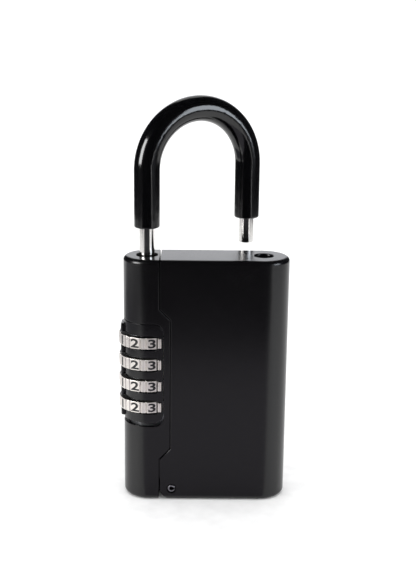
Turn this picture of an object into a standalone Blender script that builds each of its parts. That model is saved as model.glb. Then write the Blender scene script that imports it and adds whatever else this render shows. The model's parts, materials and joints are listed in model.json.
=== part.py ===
"""Key-safe padlock: a lock block with four thumbwheels and a swinging shackle,
and a key container that swings out about a pin at the foot of the seam.

Run with: blender --background --python part.py
Frame: metres, +X right, -Y front, +Z up. The origin is the middle of the body's base.
"""

import math

import bmesh
import bpy
from mathutils import Matrix, Vector

MM = 0.001

# ---- driving dimensions -------------------------------------------------------------
BODY_WIDTH = 68.0 * MM
BODY_DEPTH = 22.2 * MM
BODY_HEIGHT = 103.4 * MM
EDGE_ROUND = 1.9 * MM
WALL = 1.6 * MM
TOP_WALL = 3.0 * MM
FLOOR_WALL = 2.0 * MM
INNER_WALL = 1.0 * MM

SEAM_GAP = 0.4 * MM
SEAM_STEP = 4.45 * MM
SEAM_SLOPE = 4.6 * MM
SEAM_LOW = 18.3 * MM
SEAM_DROP = 20.4 * MM
HEEL_RIM = 1.25 * MM

ROD_RADIUS = 3.15 * MM
SLEEVE_WALL = 2.1 * MM
SHACKLE_RISE = 34.5 * MM
SLEEVE_LIFT = 0.4 * MM
SHACKLE_TRAVEL = 11.0 * MM
SHACKLE_TURN = math.radians(30)
TOE_INSET = 10.6 * MM
TOE_CLEAR = 0.6 * MM
TOE_END_ROOM = 0.5 * MM
TOE_CHAMFER = 0.6 * MM
TOE_ROOM = 0.65 * MM
SOCKET_WALL = 1.8 * MM
HEEL_ROOM = 1.1 * MM
HOLE_CHAMFER = 0.4 * MM

DIAL_COUNT = 4
DIGITS = 10
DIAL_PROUD = 0.6 * MM
DIAL_SIDE_PROUD = 2.05 * MM
DIAL_BORE = 9.2 * MM
DIAL_HEIGHT = 4.75 * MM
DIAL_PITCH = 9.2 * MM
DIAL_DROP = 34.7 * MM
DIAL_SHOWN_TURN = math.radians(12.2)
GRIP_DEPTH = 0.45 * MM
GRIP_ANGLE = math.radians(14)

YOKE_ROOM = 0.45 * MM
YOKE_WALL = 1.15 * MM
YOKE_RISE = 3.1 * MM
YOKE_FLOOR = 1.8 * MM
GATE_DEPTH = 1.25 * MM
GATE_HALF = 1.4 * MM
FIN_HEIGHT = 1.8 * MM
FIN_GAP = 0.4 * MM
SPINDLE_RADIUS = 2.4 * MM
SPINDLE_TIP = 8.5 * MM
COLLAR_HEIGHT = 1.5 * MM
COLLAR_DROP = 12.1 * MM
HEAD_HEIGHT = 2.0 * MM
NECK_CUT = 1.15 * MM
NECK_LENGTH = 1.8 * MM

BEZEL_MARGIN = 8.05 * MM
BEZEL_REACH = 7.05 * MM
BEZEL_CORNER = 3.8 * MM
BEZEL_GROOVE = 1.15 * MM
BEZEL_GAP = 0.15 * MM
BEZEL_WALL = 1.5 * MM
GUARD_PROUD = 1.1 * MM
GUARD_HALF = 3.4 * MM
GUARD_MARGIN = 6.3 * MM
GUARD_ROUND = 0.5 * MM
WINDOW_GAP = 0.55 * MM
BAR_INSET = 0.85 * MM
BAR_WIDTH = 1.35 * MM
BAR_HEIGHT = 4.1 * MM
BAR_PROUD = 0.15 * MM
BAR_THICK = 0.33 * MM

PIN_RADIUS = 1.5 * MM
PIN_HOLLOW = 0.75 * MM
PIN_INSET = 4.85 * MM
PIN_RECESS = 0.7 * MM
PIN_RING = 0.45 * MM
LUG_WALL = 1.8 * MM
LUG_HALF = 5.0 * MM

GUIDE_DROP = 16.9 * MM
GUIDE_GAP = 1.1 * MM
SLICE_SETBACK = 2.0 * MM
SLICE_INSET = 1.0 * MM
HEEL_GUIDE_RISE = 3.0 * MM
SEAT_TOP = 8.0 * MM
SPRING_WIRE = 0.4 * MM
SPRING_ROOM = 0.4 * MM
SPRING_TURNS = 8
SPRING_STEPS = 9
LEAF_THICK = 0.4 * MM
LEAF_LEG = 0.75 * MM
LEAF_END = 2.0 * MM

COVER_WALL = 0.8 * MM
COVER_SETBACK = 0.9 * MM
COVER_END = 2.6 * MM
SCREW_INSET = 2.2 * MM
SCREW_RADIUS = 1.0 * MM
SCREW_HEAD = 2.0 * MM
SCREW_HEAD_HEIGHT = 1.3 * MM
SCREW_REACH = 2.2 * MM
SCREW_SLOT_HALF = 0.25 * MM
SCREW_SLOT_DEPTH = 0.6 * MM
SLIDER_DROP = 10.5 * MM
SLIDER_TRAVEL = 4.0 * MM
KNOB_HALF_WIDTH = 2.6 * MM
KNOB_HALF_HEIGHT = 2.2 * MM
KNOB_PROUD = 2.0 * MM
KNOB_ROUND = 0.4 * MM
STEM_HALF_WIDTH = 0.9 * MM
STEM_HALF_HEIGHT = 1.0 * MM
FOOT_HALF_WIDTH = 2.4 * MM
FOOT_THICK = 0.4 * MM

FIT = 0.3 * MM
RUNNING = 0.1 * MM
SLIDING = 0.15 * MM
ROOT = 0.5 * MM
SEGMENTS = 24
SMALL_SEGMENTS = 16
RIM_SEGMENTS = 32
ROOM_SEGMENTS = 48
PAST = 20.0 * MM

# ---- places worked out from the driving dimensions ----------------------------------
HALF_WIDTH = BODY_WIDTH / 2
HALF_DEPTH = BODY_DEPTH / 2
INNER_DEPTH = HALF_DEPTH - WALL
CEILING = BODY_HEIGHT - TOP_WALL
DIAL_RADIUS = HALF_DEPTH + DIAL_PROUD
DIAL_HALF = DIAL_HEIGHT / 2
DIAL_ROOM = DIAL_RADIUS + FIT
DIAL_Z = [BODY_HEIGHT - DIAL_DROP - i * DIAL_PITCH for i in range(DIAL_COUNT)]
HEEL_X = DIAL_RADIUS - DIAL_SIDE_PROUD - HALF_WIDTH
TOE_X = HALF_WIDTH - TOE_INSET
HEEL_HOLE_RADIUS = ROD_RADIUS + HEEL_ROOM
TOE_HOLE_RADIUS = ROD_RADIUS + TOE_ROOM
SLEEVE_RADIUS = ROD_RADIUS + SLEEVE_WALL
SLEEVE_FOOT = BODY_HEIGHT + SLEEVE_LIFT + SHACKLE_TRAVEL
TOE_FOOT = BODY_HEIGHT + TOE_CLEAR
TOE_HOLE_DEPTH = SHACKLE_TRAVEL - TOE_CLEAR + TOE_END_ROOM
ARCH_RADIUS = (TOE_X - HEEL_X) / 2
ARCH_Z = BODY_HEIGHT + SHACKLE_RISE
SEAM_X = HEEL_X + HEEL_HOLE_RADIUS + HEEL_RIM
SEAM_HIGH = BODY_HEIGHT - SEAM_DROP
CASE_EDGE = SEAM_X - SEAM_GAP / 2
BOX_EDGE = SEAM_X + SEAM_GAP / 2
MID_EDGE = CASE_EDGE + SEAM_STEP
INNER_EDGE = CASE_EDGE - INNER_WALL
PIN_X = BOX_EDGE + PIN_INSET
PIN_Z = PIN_INSET
LUG_RADIUS = PIN_RADIUS + LUG_WALL
BEZEL_RIGHT = HEEL_X + BEZEL_REACH
BEZEL_TOP = DIAL_Z[0] + BEZEL_MARGIN
BEZEL_FOOT = DIAL_Z[-1] - BEZEL_MARGIN + BEZEL_GROOVE
BAR_RIGHT = BEZEL_RIGHT - BAR_INSET
YOKE_RADIUS = ROD_RADIUS + YOKE_WALL
HUB_BORE = YOKE_RADIUS + YOKE_ROOM
GATE_RADIUS = HUB_BORE + GATE_DEPTH
YOKE_FOOT = DIAL_Z[0] + DIAL_HALF + YOKE_RISE
HEAD_FOOT = YOKE_FOOT + YOKE_FLOOR
HEAD_TOP = HEAD_FOOT + HEAD_HEIGHT
NECK_RADIUS = ROD_RADIUS - NECK_CUT
NECK_TOP = HEAD_TOP + NECK_LENGTH
COLLAR_Z = DIAL_Z[-1] - COLLAR_DROP
SPRING_RADIUS = SPINDLE_RADIUS + SPRING_WIRE + SPRING_ROOM
COLLAR_RADIUS = SPRING_RADIUS + SPRING_WIRE + FIT
SLICE_RIGHT = MID_EDGE - SLICE_SETBACK
SLICE_DEPTH = INNER_DEPTH - SLICE_INSET
GUIDE_FOOT = DIAL_Z[-1] - GUIDE_DROP
GUIDE_TOP = SEAM_HIGH - SEAM_SLOPE - GUIDE_GAP
COVER_FACE = HEEL_X + DIAL_ROOM + COVER_WALL
COVER_BACK = MID_EDGE - COVER_SETBACK
SCREW_Z = {"top": GUIDE_TOP - SCREW_INSET, "bottom": GUIDE_FOOT + SCREW_INSET}
SLIDER_Z = DIAL_Z[-1] - SLIDER_DROP


# ---- collections and materials --------------------------------------------------------
def clear_scene():
    for obj in list(bpy.data.objects):
        bpy.data.objects.remove(obj, do_unlink=True)


def collection(name):
    made = bpy.data.collections.new(name)
    bpy.context.scene.collection.children.link(made)
    return made


clear_scene()
PARTS = collection("key_safe_padlock")
CUTTERS = collection("cutters")


def material(name, colour, roughness, metallic=0.0):
    made = bpy.data.materials.new(name)
    made.use_nodes = True
    shader = made.node_tree.nodes["Principled BSDF"]
    shader.inputs["Base Color"].default_value = (*colour, 1.0)
    shader.inputs["Roughness"].default_value = roughness
    shader.inputs["Metallic"].default_value = metallic
    made.diffuse_color = (*colour, 1.0)
    return made


BLACK_COAT = material("black_coat", (0.018, 0.018, 0.02), 0.45)
BLACK_PLASTIC = material("black_plastic", (0.02, 0.02, 0.022), 0.4)
SLEEVE_VINYL = material("sleeve_vinyl", (0.008, 0.008, 0.009), 0.15)
NICKEL = material("nickel", (0.78, 0.75, 0.71), 0.3, 1.0)
CHROMED_STEEL = material("chromed_steel", (0.82, 0.81, 0.8), 0.12, 1.0)
ZINC = material("zinc", (0.5, 0.51, 0.52), 0.5, 1.0)
SPRING_STEEL = material("spring_steel", (0.45, 0.45, 0.46), 0.35, 1.0)
NYLON = material("nylon", (0.72, 0.7, 0.65), 0.5)
SHARP_ANGLE = 35


# ---- shapes ---------------------------------------------------------------------------
def link(obj, group, finish=None):
    """Puts a part among the parts with its finish, or a cutter among the hidden cutters."""
    group.objects.link(obj)
    if finish:
        obj.data.materials.clear()
        obj.data.materials.append(finish)
        obj.data.shade_smooth()
        obj.data.set_sharp_from_angle(angle=math.radians(SHARP_ANGLE))
    if group is CUTTERS:
        obj.hide_render = True
        obj.display_type = "WIRE"
    return obj


def arc(centre, radius, start, end, steps):
    """Points along an arc in degrees, both ends included."""
    angles = [math.radians(start + (end - start) * i / steps) for i in range(steps + 1)]
    return [(centre[0] + radius * math.cos(a), centre[1] + radius * math.sin(a)) for a in angles]


def circle(centre, radius, steps=SEGMENTS):
    return arc(centre, radius, 0, 360, steps)[:-1]


def stadium(half_width, half_depth, steps=16):
    """A plan with straight front and back and half-round sides."""
    middle = half_width - half_depth
    right = arc((middle, 0), half_depth, -90, 90, steps)
    left = arc((-middle, 0), half_depth, 90, 270, steps)
    return right + left


def curve_mesh(name, curve):
    """A curve as a closed mesh object."""
    guide = bpy.data.objects.new(name, curve)
    bpy.context.scene.collection.objects.link(guide)
    graph = bpy.context.evaluated_depsgraph_get()
    mesh = bpy.data.meshes.new_from_object(guide.evaluated_get(graph))
    placed = guide.matrix_world.copy()
    bpy.data.objects.remove(guide, do_unlink=True)
    shape = bmesh.new()
    shape.from_mesh(mesh)
    bmesh.ops.remove_doubles(shape, verts=shape.verts, dist=1e-6)
    bmesh.ops.recalc_face_normals(shape, faces=shape.faces)
    shape.to_mesh(mesh)
    shape.free()
    obj = bpy.data.objects.new(name, mesh)
    obj.matrix_world = placed
    return obj


def plate(name, outlines, low, high, group=CUTTERS, finish=None, rounding=0.0):
    """Flat outlines in plan, filled and extruded from height low to high."""
    curve = bpy.data.curves.new(name, "CURVE")
    curve.dimensions = "2D"
    curve.fill_mode = "BOTH"
    curve.extrude = (high - low) / 2 - rounding
    if rounding:
        curve.bevel_depth = rounding
        curve.bevel_resolution = 2
        curve.offset = -rounding
    for points in outlines:
        spline = curve.splines.new("POLY")
        spline.points.add(len(points) - 1)
        for point, (x, y) in zip(spline.points, points, strict=True):
            point.co = (x, y, 0, 1)
        spline.use_cyclic_u = True
    obj = curve_mesh(name, curve)
    obj.data.transform(Matrix.Translation((0, 0, (low + high) / 2)))
    return link(obj, group, finish)


def upright(name, outline, front, back, group=CUTTERS, finish=None):
    """A flat outline of (x, z) points, extruded along Y from front to back."""
    obj = plate(name, [outline], -back, -front, group, finish)
    obj.data.transform(Matrix.Rotation(math.pi / 2, 4, "X"))
    return obj


def box(name, low, high, group=CUTTERS, finish=None):
    shape = bmesh.new()
    bmesh.ops.create_cube(shape, size=1.0)
    size = Vector(high) - Vector(low)
    bmesh.ops.scale(shape, vec=size, verts=shape.verts)
    bmesh.ops.translate(shape, vec=(Vector(low) + Vector(high)) / 2, verts=shape.verts)
    mesh = bpy.data.meshes.new(name)
    shape.to_mesh(mesh)
    shape.free()
    return link(bpy.data.objects.new(name, mesh), group, finish)


def rod(name, start, end, radius, group=CUTTERS, finish=None, steps=SEGMENTS):
    """A cylinder from start to end."""
    along = Vector(end) - Vector(start)
    shape = bmesh.new()
    bmesh.ops.create_cone(
        shape,
        cap_ends=True,
        segments=steps,
        radius1=radius,
        radius2=radius,
        depth=along.length,
    )
    turn = Vector((0, 0, 1)).rotation_difference(along).to_matrix().to_4x4()
    shape.transform(Matrix.Translation((Vector(start) + Vector(end)) / 2) @ turn)
    mesh = bpy.data.meshes.new(name)
    shape.to_mesh(mesh)
    shape.free()
    return link(bpy.data.objects.new(name, mesh), group, finish)


def turn_profile(name, profile, place, group=CUTTERS, finish=None, steps=SEGMENTS):
    """A turned shape from a profile of (radius, height), with a Screw modifier."""
    shape = bmesh.new()
    verts = [shape.verts.new((r, 0, z)) for r, z in profile]
    for first, second in zip(verts, verts[1:]):
        shape.edges.new((first, second))
    mesh = bpy.data.meshes.new(name)
    shape.to_mesh(mesh)
    shape.free()
    obj = bpy.data.objects.new(name, mesh)
    obj.location = place
    screw = obj.modifiers.new("turn", "SCREW")
    screw.steps = steps
    screw.render_steps = steps
    screw.use_merge_vertices = True
    screw.merge_threshold = 1e-5
    return link(obj, group, finish)


def combine(obj, others, operation):
    """Booleans of obj with each other shape, as modifiers."""
    for other in others:
        step = obj.modifiers.new(operation.lower() + "_" + other.name, "BOOLEAN")
        step.operation = operation
        step.solver = "EXACT"
        step.object = other
    return obj


def cut(obj, *others):
    return combine(obj, others, "DIFFERENCE")


def add(obj, *others):
    return combine(obj, others, "UNION")


def keep(obj, *others):
    return combine(obj, others, "INTERSECT")


def on_axis(obj, place):
    """Moves an object's origin to its joint axis without moving its shape."""
    place = Vector(place)
    obj.data.transform(Matrix.Translation(-place))
    obj.location = place
    return obj


# ---- the body: one rounded block, parted along a stepped seam ---------------------------
def seam_points(edge, drop):
    """The stepped seam from foot to top, for the piece whose edge is at x = edge."""
    step = edge + SEAM_STEP
    return [
        (edge, SEAM_LOW - drop),
        (step, SEAM_LOW + SEAM_SLOPE - drop),
        (step, SEAM_HIGH - SEAM_SLOPE + drop),
        (edge, SEAM_HIGH + drop),
    ]


def case_side():
    """The region of the lock block, seen from the front."""
    top = BODY_HEIGHT + PAST
    left = -HALF_WIDTH - PAST
    seam = seam_points(CASE_EDGE, 0)
    return [(left, -PAST), (CASE_EDGE, -PAST), *seam, (CASE_EDGE, top), (left, top)]


def container_side():
    """The region of the key container, with a corner rounded about the hinge pin."""
    top = BODY_HEIGHT + PAST
    right = HALF_WIDTH + PAST
    corner = arc((PIN_X, PIN_Z), PIN_INSET, 180, 270, 12)
    return [
        *reversed(seam_points(BOX_EDGE, SEAM_GAP / 2)),
        *corner,
        (PIN_X, -PAST),
        (right, -PAST),
        (right, top),
        (BOX_EDGE, top),
    ]


def body_block(name, finish):
    plan = stadium(HALF_WIDTH, HALF_DEPTH)
    return plate(name, [plan], 0, BODY_HEIGHT, PARTS, finish, rounding=EDGE_ROUND)


def inner_plan(inset, right):
    """The body's plan moved inwards, left of x = right."""
    half_depth = HALF_DEPTH - inset
    middle = HALF_WIDTH - HALF_DEPTH
    left = arc((-middle, 0), half_depth, 90, 270, 16)
    return [(right, half_depth), *left, (right, -half_depth)]


def chamfered_hole(name, x, radius, depth):
    """A hole down through the top, with a chamfered mouth."""
    top = BODY_HEIGHT + HOLE_CHAMFER
    profile = [
        (0, top),
        (radius + 2 * HOLE_CHAMFER, top),
        (radius, BODY_HEIGHT - HOLE_CHAMFER),
        (radius, BODY_HEIGHT - depth),
        (0, BODY_HEIGHT - depth),
    ]
    return turn_profile(name, profile, (x, 0, 0))


def bezel_outline(grow, foot):
    """The bezel's outline from the front, its two right corners rounded."""
    right = BEZEL_RIGHT + grow
    top = BEZEL_TOP + grow
    radius = BEZEL_CORNER + grow
    left = -HALF_WIDTH - PAST
    low = arc((right - radius, foot + radius), radius, -90, 0, 8)
    high = arc((right - radius, top - radius), radius, 0, 90, 8)
    return [(left, foot), *low, *high, (left, top)]


def case_room_side():
    """The lock block's room from the front: it opens towards the mechanism cover."""
    left = -HALF_WIDTH - PAST
    step = INNER_EDGE + SEAM_STEP
    foot, top = GUIDE_FOOT - 2 * FIT, GUIDE_TOP + 2 * FIT
    return [
        (left, 0),
        (INNER_EDGE, 0),
        (INNER_EDGE, SEAM_LOW + FIT),
        (step, foot),
        (step + PAST, foot),
        (step + PAST, top),
        (step, top),
        (INNER_EDGE, SEAM_HIGH - FIT),
        (INNER_EDGE, BODY_HEIGHT),
        (left, BODY_HEIGHT),
    ]


def lock_case():
    case = body_block("lock_case", BLACK_COAT)
    side = upright("case_side", case_side(), -PAST, PAST)
    room = plate("case_room", [inner_plan(WALL, PAST)], FLOOR_WALL, CEILING)
    keep(room, upright("case_room_side", case_room_side(), -PAST, PAST))
    opening = bezel_outline(BEZEL_GAP, BEZEL_FOOT - BEZEL_GROOVE)
    window = upright("bezel_opening", opening, -PAST, PAST)
    hole = chamfered_hole("heel_hole", HEEL_X, HEEL_HOLE_RADIUS, TOP_WALL + FIT)
    root = CASE_EDGE - INNER_WALL / 2
    eye = arc((PIN_X, PIN_Z), LUG_RADIUS, -90, 90, 12)
    bar = [(root, PIN_Z - LUG_RADIUS), *eye, (root, PIN_Z + LUG_RADIUS)]
    lug = upright("hinge_lug", bar, -LUG_HALF, LUG_HALF)
    bore = rod("lug_bore", (PIN_X, -PAST, PIN_Z), (PIN_X, PAST, PIN_Z), PIN_RADIUS + RUNNING)
    dials = [dial_room("case_dial_room_%d" % (i + 1), z) for i, z in enumerate(DIAL_Z)]
    keep(case, side)
    cut(case, room, window, hole, *dials)
    add(case, lug)
    cut(case, bore)
    return case


def dial_room(name, z):
    """The turning room that a thumbwheel needs in what surrounds it."""
    half = DIAL_HALF + WINDOW_GAP
    return rod(name, (HEEL_X, 0, z - half), (HEEL_X, 0, z + half), DIAL_ROOM, steps=ROOM_SEGMENTS)


def key_container():
    shell = body_block("key_container", BLACK_COAT)
    side = upright("container_side", container_side(), -PAST, PAST)
    inside = [stadium(HALF_WIDTH - WALL, INNER_DEPTH)]
    room = plate("container_room", inside, FLOOR_WALL, CEILING)
    start = (TOE_X, 0, BODY_HEIGHT - TOE_HOLE_DEPTH - SOCKET_WALL)
    end = (TOE_X, 0, CEILING + FIT)
    cut(room, rod("toe_socket", start, end, TOE_HOLE_RADIUS + SOCKET_WALL))
    hole = chamfered_hole("toe_hole", TOE_X, TOE_HOLE_RADIUS, TOE_HOLE_DEPTH)
    keep(shell, side)
    cut(shell, room, hole)
    for side, face in (("front", -1), ("back", 1)):
        start = (PIN_X, face * LUG_HALF, PIN_Z)
        end = (PIN_X, face * (INNER_DEPTH + WALL / 2), PIN_Z)
        add(shell, rod("boss_" + side, start, end, LUG_RADIUS))
    half = LUG_HALF + FIT
    low = (BOX_EDGE - PAST, -half, -PAST)
    high = (PIN_X + LUG_RADIUS + 2 * FIT, half, PIN_Z + LUG_RADIUS + FIT)
    notch = box("lug_notch", low, high)
    bore = rod("container_bore", (PIN_X, -PAST, PIN_Z), (PIN_X, PAST, PIN_Z), PIN_RADIUS + RUNNING)
    cut(shell, notch, bore)
    for side, face in (("front", -1), ("back", 1)):
        start = (PIN_X, face * (HALF_DEPTH - PIN_RECESS), PIN_Z)
        end = (PIN_X, face * (HALF_DEPTH + PAST), PIN_Z)
        cut(shell, rod("recess_" + side, start, end, PIN_RADIUS + PIN_RING))
    return on_axis(shell, (PIN_X, 0, PIN_Z))


def hinge_pin():
    """A hollow pin, a little below both faces of the body."""
    half = HALF_DEPTH - FIT
    start, end = (PIN_X, -half, PIN_Z), (PIN_X, half, PIN_Z)
    pin = rod("hinge_pin", start, end, PIN_RADIUS, PARTS, SPRING_STEEL)
    start, end = (PIN_X, -PAST, PIN_Z), (PIN_X, PAST, PIN_Z)
    return cut(pin, rod("pin_hollow", start, end, PIN_HOLLOW, steps=SMALL_SEGMENTS))


# ---- the bezel and its index bars -------------------------------------------------------
def bar_box(name, z, grow, group=CUTTERS, finish=None):
    """An index bar, or with grow its slot, which runs past it to the front and back."""
    front = -HALF_DEPTH - BAR_PROUD
    back = front + BAR_THICK
    low = (BAR_RIGHT - BAR_WIDTH - grow, front - 4 * grow, z - BAR_HEIGHT / 2 - grow)
    high = (BAR_RIGHT + grow, back + 4 * grow, z + BAR_HEIGHT / 2 + grow)
    return box(name, low, high, group, finish)


def dial_bezel():
    outer = stadium(HALF_WIDTH, HALF_DEPTH)
    inner = stadium(HALF_WIDTH - BEZEL_WALL, HALF_DEPTH - BEZEL_WALL)
    bezel = plate("dial_bezel", [outer], BEZEL_FOOT - MM, BEZEL_TOP + MM, PARTS, BLACK_PLASTIC)
    hollow = plate("bezel_hollow", [inner], BEZEL_FOOT - PAST, BEZEL_TOP + PAST)
    guard = box(
        "dial_guard",
        (-HALF_WIDTH - GUARD_PROUD, -GUARD_HALF, DIAL_Z[-1] - GUARD_MARGIN),
        (-HALF_WIDTH + BEZEL_WALL / 2, GUARD_HALF, DIAL_Z[0] + GUARD_MARGIN),
    )
    edge = guard.modifiers.new("edge", "BEVEL")
    edge.width = GUARD_ROUND
    edge.segments = 2
    outline = upright("bezel_side", bezel_outline(0, BEZEL_FOOT), -PAST, PAST)
    cut(bezel, hollow)
    add(bezel, guard)
    keep(bezel, outline)
    for i, z in enumerate(DIAL_Z):
        number = i + 1
        half = DIAL_HALF + WINDOW_GAP - RUNNING
        low = (-HALF_WIDTH - PAST, -PAST, z - half)
        window = box("window_%d" % number, low, (BAR_RIGHT - BAR_WIDTH, PAST, z + half))
        slot = bar_box("bar_slot_%d" % number, z, BEZEL_GAP)
        cut(bezel, window, dial_room("bezel_dial_room_%d" % number, z), slot)
    return bezel


def index_bars():
    for i, z in enumerate(DIAL_Z):
        bar_box("index_bar_%d" % (i + 1), z, 0, PARTS, NICKEL)


# ---- thumbwheels, code hubs and the plates between them ------------------------------------
def dial_outline():
    """Ten raised pads for the digits, with a shallow grip groove between each two."""
    step = 2 * math.pi / DIGITS
    points = []
    for digit in range(DIGITS):
        middle = digit * step
        pad = step - GRIP_ANGLE
        for share in (-0.5, 0, 0.5):
            angle = middle + pad * share
            points.append((DIAL_RADIUS * math.cos(angle), DIAL_RADIUS * math.sin(angle)))
        for share in (0.3, 0.7):
            angle = middle + pad / 2 + GRIP_ANGLE * share
            low = DIAL_RADIUS - GRIP_DEPTH
            points.append((low * math.cos(angle), low * math.sin(angle)))
    return points


def gate_outline():
    """The hub's bore with one gate towards -X."""
    half = GATE_HALF + FIT
    side = math.degrees(math.asin(half / HUB_BORE))
    bore = arc((0, 0), HUB_BORE, side - 180, 180 - side, 28)
    return [*bore, (-GATE_RADIUS, half), (-GATE_RADIUS, -half)]


def moved(points, x):
    return [(x + p, q) for p, q in points]


def turned(points, angle):
    c, s = math.cos(angle), math.sin(angle)
    return [(c * x - s * y, s * x + c * y) for x, y in points]


def dials():
    """Each thumbwheel shows one digit, turned a little from the front towards its index bar."""
    outline = moved(turned(dial_outline(), DIAL_SHOWN_TURN - math.pi / 2), HEEL_X)
    bore = circle((HEEL_X, 0), DIAL_BORE, RIM_SEGMENTS)
    hub_rim = circle((HEEL_X, 0), DIAL_BORE - FIT, RIM_SEGMENTS)
    gate = moved(gate_outline(), HEEL_X)
    for i, z in enumerate(DIAL_Z):
        low, high = z - DIAL_HALF, z + DIAL_HALF
        ring = plate("dial_ring_%d" % (i + 1), [outline, bore], low, high, PARTS, NICKEL)
        hub = plate("code_hub_%d" % (i + 1), [hub_rim, gate], low, high, PARTS, ZINC)
        on_axis(ring, (HEEL_X, 0, z))
        on_axis(hub, (HEEL_X, 0, z))


def slice_outline(right):
    middle = HALF_WIDTH - HALF_DEPTH
    left = arc((-middle, 0), SLICE_DEPTH, 90, 270, 16)
    return [(right, SLICE_DEPTH), *left, (right, -SLICE_DEPTH)]


def guide_plates():
    """Spacers between the thumbwheels and a guide block above and below them."""
    gate = moved(gate_outline(), HEEL_X)
    outline = slice_outline(SLICE_RIGHT)
    for i in range(DIAL_COUNT - 1):
        low = DIAL_Z[i + 1] + DIAL_HALF + FIT
        high = DIAL_Z[i] - DIAL_HALF - FIT
        plate("dial_spacer_%d" % (i + 1), [outline, gate], low, high, PARTS, NYLON)
    top = DIAL_Z[0] + DIAL_HALF + FIT
    foot = DIAL_Z[-1] - DIAL_HALF - FIT
    upper = plate("upper_guide", [outline, gate], top, GUIDE_TOP, PARTS, ZINC)
    lower = plate("lower_guide", [outline, gate], GUIDE_FOOT, foot, PARTS, ZINC)
    for guide, end_name in ((upper, "top"), (lower, "bottom")):
        z = SCREW_Z[end_name]
        start = (SLICE_RIGHT - SCREW_REACH - FIT, 0, z)
        end = (SLICE_RIGHT + PAST, 0, z)
        hole = rod("screw_hole_" + end_name, start, end, SCREW_RADIUS + FIT, steps=SMALL_SEGMENTS)
        cut(guide, hole)


def heel_guide():
    """The block under the top wall that the heel of the shackle slides in."""
    bore = circle((HEEL_X, 0), ROD_RADIUS + SLIDING)
    outline = slice_outline(INNER_EDGE - FIT)
    low, high = SEAM_HIGH + HEEL_GUIDE_RISE, CEILING - FIT
    return plate("heel_guide", [outline, bore], low, high, PARTS, NYLON)


def spring_seat():
    outline = slice_outline(INNER_EDGE - FIT)
    return plate("spring_seat", [outline], FLOOR_WALL + FIT, SEAT_TOP, PARTS, NYLON)


def click_spring():
    """A flat spring whose two legs rest beside the thumbwheels' rims."""
    half = INNER_DEPTH - FIT
    leg = half - LEAF_LEG
    x = SLICE_RIGHT + FIT
    low = DIAL_Z[-1] - DIAL_HALF - LEAF_END
    high = DIAL_Z[0] + DIAL_HALF + LEAF_END
    spring = box("click_spring", (x, -half, low), (x + LEAF_THICK, half, high), PARTS, SPRING_STEEL)
    for i, z in enumerate(DIAL_Z):
        room = DIAL_HALF + FIT
        window = box("click_window_%d" % (i + 1), (x - PAST, -leg, z - room), (x + PAST, leg, z + room))
        cut(spring, window)
    return spring


# ---- the cover inside the container, its screws and the code slider ------------------------
def mechanism_cover():
    half = INNER_DEPTH - 2 * FIT
    low, high = (COVER_BACK, -half, GUIDE_FOOT), (COVER_FACE, half, GUIDE_TOP)
    cover = box("mechanism_cover", low, high, PARTS, ZINC)
    start = (HEEL_X, 0, DIAL_Z[-1] - DIAL_HALF - COVER_END)
    end = (HEEL_X, 0, DIAL_Z[0] + DIAL_HALF + COVER_END)
    cut(cover, rod("cover_room", start, end, DIAL_ROOM, steps=ROOM_SEGMENTS))
    behind, before = COVER_BACK - PAST, COVER_FACE + PAST
    for name, z in SCREW_Z.items():
        start, end = (behind, 0, z), (before, 0, z)
        hole = rod("cover_hole_" + name, start, end, SCREW_RADIUS + FIT, steps=SMALL_SEGMENTS)
        seat = (COVER_FACE - SCREW_HEAD_HEIGHT - FIT, 0, z)
        cut(cover, hole, rod("head_seat_" + name, seat, end, SCREW_HEAD + FIT))
    stem = STEM_HALF_WIDTH + FIT
    low = (behind, -stem, SLIDER_Z - STEM_HALF_HEIGHT - FIT)
    high = (before, stem, SLIDER_Z + STEM_HALF_HEIGHT + SLIDER_TRAVEL + FIT)
    return cut(cover, box("slider_slot", low, high))


def cover_screws():
    for name, z in SCREW_Z.items():
        back = COVER_FACE - SCREW_HEAD_HEIGHT
        face = (COVER_FACE, 0, z)
        head = rod("cover_screw_" + name, (back, 0, z), face, SCREW_HEAD, PARTS, SPRING_STEEL)
        tip, root = (SLICE_RIGHT - SCREW_REACH, 0, z), (back + ROOT, 0, z)
        add(head, rod("shank_" + name, tip, root, SCREW_RADIUS, steps=SMALL_SEGMENTS))
        low = (COVER_FACE - SCREW_SLOT_DEPTH, -SCREW_SLOT_HALF, z - PAST)
        high = (COVER_FACE + PAST, SCREW_SLOT_HALF, z + PAST)
        cut(head, box("slot_" + name, low, high))


def slider_box(name, left, right, half_width, half_height, group=CUTTERS, finish=None):
    low = (left, -half_width, SLIDER_Z - half_height)
    return box(name, low, (right, half_width, SLIDER_Z + half_height), group, finish)


def code_slider():
    """The slider that frees the hubs while a new code is set."""
    face, outer, back = COVER_FACE + FIT, COVER_FACE + KNOB_PROUD, SLICE_RIGHT + FIT
    sizes = (KNOB_HALF_WIDTH, KNOB_HALF_HEIGHT)
    knob = slider_box("code_slider", face, outer, *sizes, PARTS, BLACK_PLASTIC)
    edge = knob.modifiers.new("edge", "BEVEL")
    edge.width = KNOB_ROUND
    edge.segments = 2
    stem = slider_box("slider_stem", back, face + ROOT, STEM_HALF_WIDTH, STEM_HALF_HEIGHT)
    foot = slider_box("slider_foot", back, back + FOOT_THICK, FOOT_HALF_WIDTH, STEM_HALF_HEIGHT)
    add(knob, stem, foot)
    return on_axis(knob, (COVER_FACE, 0, SLIDER_Z))


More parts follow.
